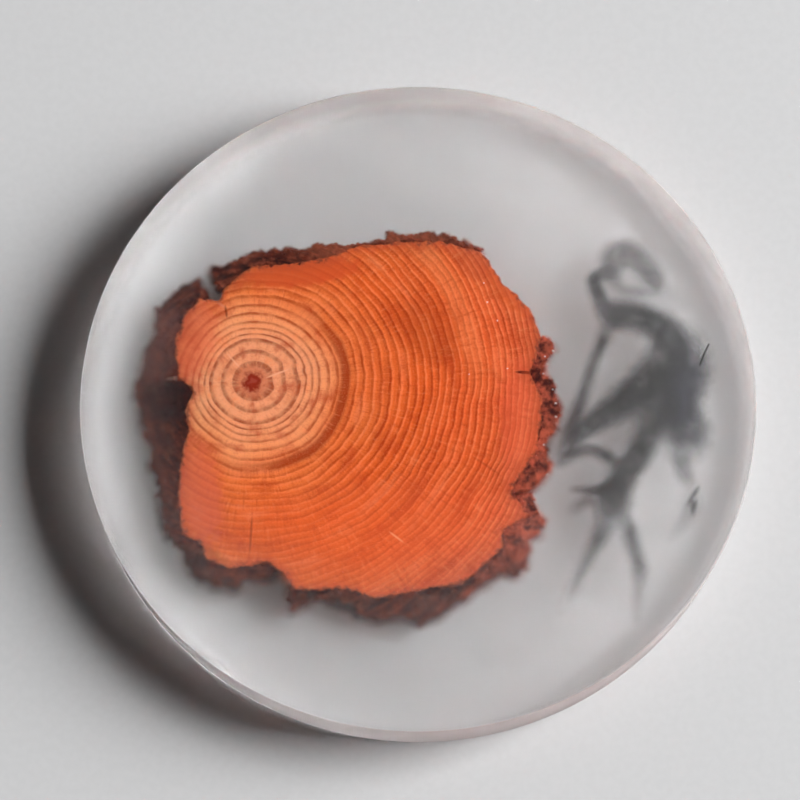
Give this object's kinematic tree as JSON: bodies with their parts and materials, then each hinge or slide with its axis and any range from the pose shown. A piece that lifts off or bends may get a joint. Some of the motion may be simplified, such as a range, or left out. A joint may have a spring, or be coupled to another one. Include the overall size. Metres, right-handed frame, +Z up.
{
  "type": "cast resin disc",
  "caption": "Flat round disc of satin clear cast resin with a bark-edged slice of red softwood and a wisp of black ink sealed inside it.",
  "frame": {"origin": "centre of the flat underside, on the surface that the disc rests on", "axes": "+Z up through the thickness; +X from the wood slice towards the ink; +Y from the forked tails of the ink towards its loop"},
  "size_m": [0.09, 0.09, 0.0088],
  "materials": {
    "resin": "satin, fine sanding marks on the top face",
    "wood": "sealed end grain with growth rings",
    "bark": "rough weathered bark",
    "ink": "ink dispersed in cured resin",
    "fibre": "matte"
  },
  "bodies": {
    "root": {"base_pour": "resin", "top_pour": "resin", "wood_slice": "wood", "bark_left": "bark", "bark_lower_left": "bark", "bark_bottom": "bark", "bark_lower_right": "bark", "bark_right": "bark", "bark_top": "bark", "bark_top_left": "bark", "ink_loop": "ink", "ink_arch": "ink", "ink_plume": "ink", "ink_left_strand": "ink", "ink_cross_strand": "ink", "ink_stem": "ink", "ink_hook": "ink", "ink_left_tail": "ink", "ink_right_tail": "ink", "ink_drip": "ink", "ink_speck": "ink", "fibre": "fibre"}
  },
  "joints": []
}
